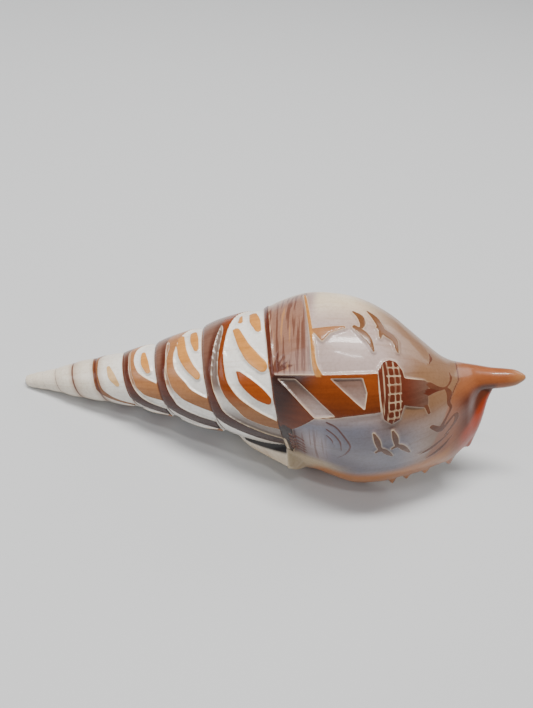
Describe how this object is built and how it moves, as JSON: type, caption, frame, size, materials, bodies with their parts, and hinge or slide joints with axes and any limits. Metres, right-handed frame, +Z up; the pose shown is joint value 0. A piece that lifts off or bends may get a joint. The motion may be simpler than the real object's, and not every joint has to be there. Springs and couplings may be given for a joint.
{
  "type": "carved tibia shell",
  "caption": "Long spired sea shell with cameo-carved whorls, a flared toothed lip and a pointed canal, lying on its aperture.",
  "frame": {"origin": "under the middle of the shell's box, on the surface it lies on", "axes": "+X along the shell from its apex to its canal, -Y towards its lip, +Z up"},
  "size_m": [0.1454, 0.05, 0.0508],
  "materials": {
    "shell": "polished shell, cream with brown bands, cut back to white and tan in low relief"
  },
  "bodies": {
    "root": {"shell": "shell"}
  },
  "joints": []
}
